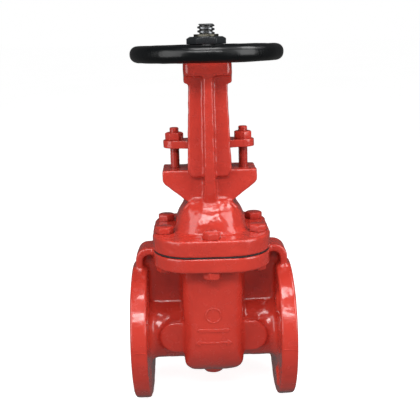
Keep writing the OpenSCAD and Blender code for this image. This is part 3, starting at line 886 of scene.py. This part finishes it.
def bonnet_is_cast(points, normals):
    """False in the cavity, the stuffing box and the bores of the crown."""
    x, y, z = points[:, 0] - axis_x, points[:, 1], points[:, 2]
    middle = np.array([axis_x, 0, BONNET_FLANGE_TOP])
    cavity = (z < CAVITY_TOP_Z) & (np.sum((points - middle) * normals, axis=1) < 0)
    cavity &= (np.abs(x) < CAVITY_X) & (np.abs(y) < CAVITY_Y)
    from_axis = np.hypot(x, y)
    stuffing_box = from_axis < BACKSEAT_R + 1.5 * MM
    cap_bore = (z > CAP_SEAT_Z - OVER) & (from_axis < CAP_R + 0.5 * MM)
    return ~(cavity | stuffing_box | cap_bore)


def round_dome(piece):
    """Draws the outer skin of the dome out to one smooth swollen shape, with no arris lines."""
    points = read_rows(piece.data.vertices, "co")
    normals = read_rows(piece.data.vertices, "normal")
    offset = points - np.array([axis_x, 0, DOME_TOP_Z - DOME_TOP_R])
    x, y, z = np.abs(offset[:, 0]), np.abs(offset[:, 1]), points[:, 2]
    plan, side = DOME_PLAN_POWER, DOME_RISE_POWER
    across = ((x / DOME_X) ** plan + (y / DOME_Y) ** plan) ** (1 / plan)
    height = np.maximum(offset[:, 2], 0) / DOME_TOP_R
    share = (across ** side + height ** side) ** (1 / side)
    weight = np.sum(offset * normals, axis=1) > 0
    weight = weight * rise(z, *DOME_FOOT_Z) * (1 - rise(z, *DOME_HEAD_Z))
    weight *= 1 - rise(z, *WING_ROOT_Z) * (1 - rise(y, *WING_ROOT_Y))
    weight *= 1 - rise(z, *RIB_ROOT_Z) * (1 - rise(x, *RIB_ROOT_X)) * (y > RIB_ROOT_FROM_Y)
    weight *= (x < DOME_X + DOME_MARGIN) & (y < DOME_Y + DOME_MARGIN) & (share < DOME_MOST_SHARE)
    points[:, :2] += (offset * (1 / np.maximum(share, 0.1) - 1)[:, None] * weight[:, None])[:, :2]
    return move_points(piece, points)


def bonnet_plugs(bm):
    """Plugs in the bolt holes, which are drilled again after the skin is made."""
    for x, y in cover_axes:
        add_disc(bm, BOLT_HOLE_PLUG_R, bonnet_lo.z, BONNET_FLANGE_TOP, x, y, 24)


def bonnet_skin_fade(co):
    """0 on the foot and the bores of the bonnet, 1 on its cast skin."""
    from_axis = math.hypot(co.x - axis_x, co.y)
    return fade(co.z - bonnet_lo.z, FACE_BAND) * fade(from_axis - BONNET_SKIN_R, BORE_BAND)


def machine_bonnet(piece):
    """Cuts the holes, bores and seats of the bonnet."""
    drills, seats = bmesh.new(), bmesh.new()
    for x, y in cover_axes:
        add_disc(drills, BOLT_HOLE_R, bonnet_lo.z - OVER, BONNET_FLANGE_TOP + OVER, x, y, 32)
        add_disc(seats, SPOT_FACE_R, BONNET_FLANGE_TOP, BONNET_FLANGE_TOP + SPOT_FACE_DEPTH, x, y)
    for x, y in stud_axes:
        add_disc(drills, BOLT_R, STUD_FOOT_Z, WING_TOP_Z + OVER, x, y, 32)
    add_disc(drills, STUFFING_R, STUFFING_Z + OVER, WING_TOP_Z + OVER)
    add_disc(drills, SLEEVE_R, CROWN_Z - OVER, CAP_SEAT_Z - OVER)
    add_disc(seats, BACKSEAT_R, BACKSEAT_Z, STUFFING_Z)
    add_disc(seats, CAP_R, CAP_SEAT_Z, bonnet_hi.z + OVER)
    boolean(piece, from_bmesh("drills", drills), "DIFFERENCE")
    boolean(piece, from_bmesh("seats", seats), "DIFFERENCE")


def make_bonnet():
    piece = remeshed("bonnet", "bonnet_casting", bonnet_plugs)
    round_dome(piece)
    fillet(piece, passes=34, proud=0.4, is_cast=bonnet_is_cast)
    roughen(piece, swell=(0.45 * MM, 11 * MM), grain=(0.18 * MM, 4 * MM), keep_true=bonnet_skin_fade)
    thin_out(piece)
    limit_to(piece, (0, -FAR, bonnet_lo.z), (face_to_face, FAR, bonnet_hi.z))
    machine_bonnet(piece)
    smooth_by_angle(piece, 40)
    return finish_piece(piece, PAINT, "casing", "bonnet")


def far_from_axis(near, band):
    """1 on the casting, 0 within near of the stem's axis."""
    def keep_true(co):
        return fade(math.hypot(co.x - axis_x, co.y) - near, band)
    return keep_true


def make_gland_flange():
    piece = remeshed("gland_flange", "gland_flange_casting", voxel=0.6 * MM, passes=6)
    skin_fade = far_from_axis(GLAND_SKIN_R, FACE_BAND)
    roughen(piece, swell=(0.2 * MM, 10 * MM), grain=(0.08 * MM, 3 * MM), keep_true=skin_fade)
    smooth_by_angle(piece, 40)
    return finish_piece(piece, PAINT, "casing", "gland_flange")


def wheel_is_cast(points, normals):
    return np.hypot(points[:, 0] - axis_x, points[:, 1]) > HUB_CAST_R


def make_handwheel():
    piece = remeshed("handwheel", "handwheel_casting", passes=6)
    fillet(piece, passes=40, proud=0.3, is_cast=wheel_is_cast)
    skin_fade = far_from_axis(HUB_SKIN_R, BORE_BAND)
    roughen(piece, swell=(0.3 * MM, 15 * MM), grain=(0.06 * MM, 4 * MM), keep_true=skin_fade)
    thin_out(piece)
    smooth_by_angle(piece, 40)
    return finish_piece(piece, BLACK, "wheel_set", "handwheel")


# ---------- fasteners ----------

def at_axis(lo, hi):
    return Matrix.Translation(((lo.x + hi.x) / 2, (lo.y + hi.y) / 2, 0))


def spun(lo, hi, i):
    """Place of fastener i, turned a little from its neighbours."""
    return at_axis(lo, hi) @ Matrix.Rotation(math.radians(37 * i % 60), 4, "Z")


def make_bonnet_bolts():
    lo, hi = cover_bolts[0]
    head = hexagon("bolt", BOLT_AF, BONNET_FLANGE_TOP, hi.z, low=False)
    soften_edges(head, 0.5 * MM, 3)
    apply_modifiers(head)
    shank_r, shank_top = BOLT_R - 0.05 * MM, BONNET_FLANGE_TOP + OVER
    shank = thread("shank", shank_r, 0.75 * MM, BOLT_PITCH, lo.z, shank_top, steps=32)
    boolean(head, shank, "UNION")
    piece = repeated("bonnet_bolt_set", head, [spun(*b, i) for i, b in enumerate(cover_bolts)])
    smooth_by_angle(piece)
    return finish_piece(piece, BOLT_PAINT, "casing", "bonnet_bolts")


def make_nuts(node, name, hole_r, upward):
    """Nuts with their chamfered face upward or downward."""
    boxes = solid_boxes(node)
    lo, hi = boxes[0]
    nut = hexagon("nut", BOLT_AF, lo.z, hi.z, low=not upward, high=upward)
    boolean(nut, revolved("hole", disc_outline(hole_r, lo.z - OVER, hi.z + OVER), 48), "DIFFERENCE")
    soften_edges(nut, 0.4 * MM, 3)
    apply_modifiers(nut)
    piece = repeated(name, nut, [spun(*b, i) for i, b in enumerate(boxes)])
    smooth_by_angle(piece)
    return finish_piece(piece, BOLT_PAINT, "casing", node)


def make_gland_studs():
    boxes = solid_boxes("gland_studs")
    lo, hi = boxes[0]
    stud = thread("stud", (hi.x - lo.x) / 2, 0.6 * MM, BOLT_PITCH, lo.z, hi.z, steps=32, point=1.6)
    piece = repeated("gland_stud_pair", stud, [at_axis(*b) for b in boxes])
    smooth_by_angle(piece)
    return finish_piece(piece, BOLT_PAINT, "casing", "gland_studs")


def make_wheel_nut():
    lo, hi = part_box("wheel_nut")
    across = min(hi.x - lo.x, hi.y - lo.y)
    nut = hexagon("wheel_nut_hexagon", across, lo.z, hi.z, low=False)
    hole = disc_outline(WHEEL_NUT_BORE_R, lo.z - OVER, hi.z + OVER)
    boolean(nut, revolved("hole", hole, 64), "DIFFERENCE")
    nut.data.transform(at_axis(lo, hi))
    soften_edges(nut, 0.5 * MM, 3)
    apply_modifiers(nut)
    smooth_by_angle(nut)
    return finish_piece(nut, NUT_BLACK, "wheel_set", "wheel_nut")


def make_stem():
    piece = welded_copy("stem", "stem_threaded")
    limit_to(piece, (axis_x - FAR, -FAR, stem_lo.z), (axis_x + FAR, FAR, THREAD_FOOT_Z + OVER))
    rod = thread(
        "rod", STEM_R, STEM_THREAD_DEPTH, STEM_PITCH, THREAD_FOOT_Z, stem_hi.z,
        left_hand=True, steps=64, point=0.8,
    )
    rod.data.transform(Matrix.Translation((axis_x, 0, 0)))
    boolean(piece, rod, "UNION")
    smooth_by_angle(piece)
    return finish_piece(piece, THREAD_STEEL, "stem_set", "stem")


def dress_node(node, material, edge=0.25 * MM):
    """A CAD node that stays, with its edges broken and a finish."""
    shown = NODES[node]
    weld = shown.modifiers.new("weld", "WELD")
    weld.merge_threshold = 1e-6
    soften_edges(shown, edge)
    shown.data.materials.clear()
    shown.data.materials.append(material)
    for face in shown.data.polygons:
        face.material_index = 0
        face.use_smooth = True
    return shown


make_body()
make_bonnet()
make_gland_flange()
make_handwheel()
make_bonnet_bolts()
make_nuts("bonnet_nuts", "bonnet_nut_set", COVER_NUT_BORE_R, upward=False)
make_nuts("gland_nuts", "gland_nut_pair", GLAND_NUT_BORE_R, upward=True)
make_gland_studs()
make_wheel_nut()
make_stem()
for finish_material, node_names in (
    (BRONZE, (
        "seat_ring_inlet", "seat_ring_outlet", "backseat_bushing", "packing_base_ring", "gland_follower",
        "wedge_facing_inlet", "wedge_facing_outlet",
    )),
    (STEEL, ("thrust_washer_lower", "thrust_washer_upper", "yoke_cap", "wheel_key")),
    (SLEEVE_BRASS, ("yoke_sleeve",)),
    (GASKET, ("bonnet_gasket",)),
    (PACKING, ("packing_rings",)),
    (IRON, ("wedge",)),
):
    for node_name in node_names:
        dress_node(node_name, finish_material)


# ---------- floor, light and camera ----------

def make_floor():
    """Big sweep that the camera sees, but that neither lights nor shows in the valve."""
    bm = bmesh.new()
    bmesh.ops.create_grid(bm, x_segments=8, y_segments=8, size=60)
    floor = from_bmesh("floor", bm)
    floor.location = (axis_x, 0, -flange_r - 0.2 * MM)
    floor.visible_diffuse = False
    floor.visible_glossy = False
    floor.data.materials.append(floor_material("pale_floor"))


def softbox(name, place, aim, size, power):
    data = bpy.data.lights.new(name, "AREA")
    data.shape = "RECTANGLE"
    data.size, data.size_y = size
    data.energy = power
    lamp = bpy.data.objects.new(name, data)
    bpy.context.scene.collection.objects.link(lamp)
    lamp.location = place
    lamp.rotation_euler = (Vector(aim) - Vector(place)).to_track_quat("-Z", "Y").to_euler()
    return lamp


def make_world():
    """White behind the valve for the camera, and a soft fill light that is stronger from below."""
    world = bpy.data.worlds.new("studio")
    bpy.context.scene.world = world
    world.use_nodes = True
    tree = world.node_tree

    def computed(kind, operation, first, second):
        node = tree.nodes.new(kind)
        node.operation = operation
        tree.links.new(first, node.inputs[0])
        if isinstance(second, bpy.types.NodeSocket):
            tree.links.new(second, node.inputs[1])
        else:
            node.inputs[1].default_value = second
        return node.outputs["Value"]

    seen = tree.nodes["Background"]
    seen.inputs["Color"].default_value = (1, 1, 1, 1)
    seen.inputs["Strength"].default_value = 1.0
    fill = tree.nodes.new("ShaderNodeBackground")
    path = tree.nodes.new("ShaderNodeLightPath")
    toward = tree.nodes.new("ShaderNodeTexCoord").outputs["Generated"]
    lean = computed("ShaderNodeVectorMath", "DOT_PRODUCT", toward, WORLD_LEAN)
    level = computed("ShaderNodeMath", "ADD", lean, WORLD_LEVEL)
    least = computed("ShaderNodeMath", "MAXIMUM", level, WORLD_LEAST)
    share = tree.nodes.new("ShaderNodeMapRange")
    share.inputs["To Min"].default_value = 1.0
    share.inputs["To Max"].default_value = WORLD_GLOSS_SHARE
    tree.links.new(path.outputs["Is Glossy Ray"], share.inputs["Value"])
    strength = computed("ShaderNodeMath", "MULTIPLY", least, share.outputs[0])
    tree.links.new(strength, fill.inputs["Strength"])
    mix = tree.nodes.new("ShaderNodeMixShader")
    tree.links.new(path.outputs["Is Camera Ray"], mix.inputs[0])
    tree.links.new(fill.outputs[0], mix.inputs[1])
    tree.links.new(seen.outputs[0], mix.inputs[2])
    tree.links.new(mix.outputs[0], tree.nodes["World Output"].inputs[0])


def make_camera():
    data = bpy.data.cameras.new("camera")
    data.lens = CAMERA_LENS
    data.sensor_width = CAMERA_SENSOR
    camera = bpy.data.objects.new("camera", data)
    bpy.context.scene.collection.objects.link(camera)
    camera.matrix_world = (
        Matrix.Translation(CAMERA_PLACE)
        @ Matrix.Rotation(-CAMERA_YAW, 4, "Z")
        @ Matrix.Rotation(math.pi / 2 - CAMERA_PITCH, 4, "X")
        @ Matrix.Rotation(-CAMERA_ROLL, 4, "Z")
    )
    bpy.context.scene.camera = camera


def make_lights():
    middle, foot = (axis_x, 0, 0.12), (axis_x, 0, 0.02)
    softbox("softbox_left", (-0.75, -0.6, 0.5), middle, size=(0.7, 1.1), power=5.8)
    softbox("softbox_right", (0.95, -0.55, 0.5), middle, size=(0.55, 0.9), power=5.6)
    softbox("softbox_top", (0.1, -0.35, 1.2), middle, size=(0.5, 0.3), power=4.0)
    softbox("softbox_top_right", (0.66, -0.05, 1.0), middle, size=(0.35, 0.35), power=2.6)
    softbox("softbox_front", (0.0, -1.45, 1.25), foot, size=(1.3, 0.33), power=13.5)


make_floor()
make_world()
make_camera()
make_lights()
bpy.context.scene.view_settings.view_transform = "Standard"
